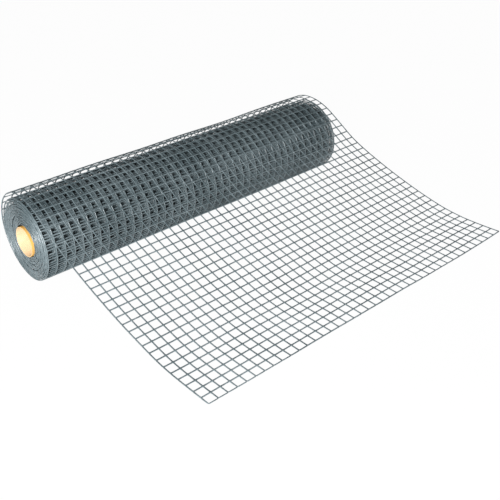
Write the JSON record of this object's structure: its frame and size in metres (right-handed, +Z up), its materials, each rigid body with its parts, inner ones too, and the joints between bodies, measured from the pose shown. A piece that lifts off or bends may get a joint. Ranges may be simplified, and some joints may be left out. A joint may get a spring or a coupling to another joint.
{
  "type": "roll of plastic mesh",
  "caption": "Roll of square-holed plastic mesh wound on a cardboard core, with its free end drawn out in a gentle slope to the floor.",
  "frame": {"origin": "on the axis of the cardboard core, at the middle of its length", "axes": "+X along the core, the free end of the sheet lies towards -Y, +Z up; the floor is 105.7 mm below the origin"},
  "size_m": [1.013, 0.827, 0.2328],
  "materials": {
    "core_tube": "bare wound cardboard, matt",
    "mesh": "grey-green moulded plastic, satin"
  },
  "bodies": {
    "root": {"core_tube": "core_tube", "wound_mesh": "mesh", "loose_mesh_1": "mesh", "loose_mesh_2": "mesh", "loose_mesh_3": "mesh", "loose_mesh_4": "mesh", "loose_mesh_5": "mesh"}
  },
  "joints": []
}
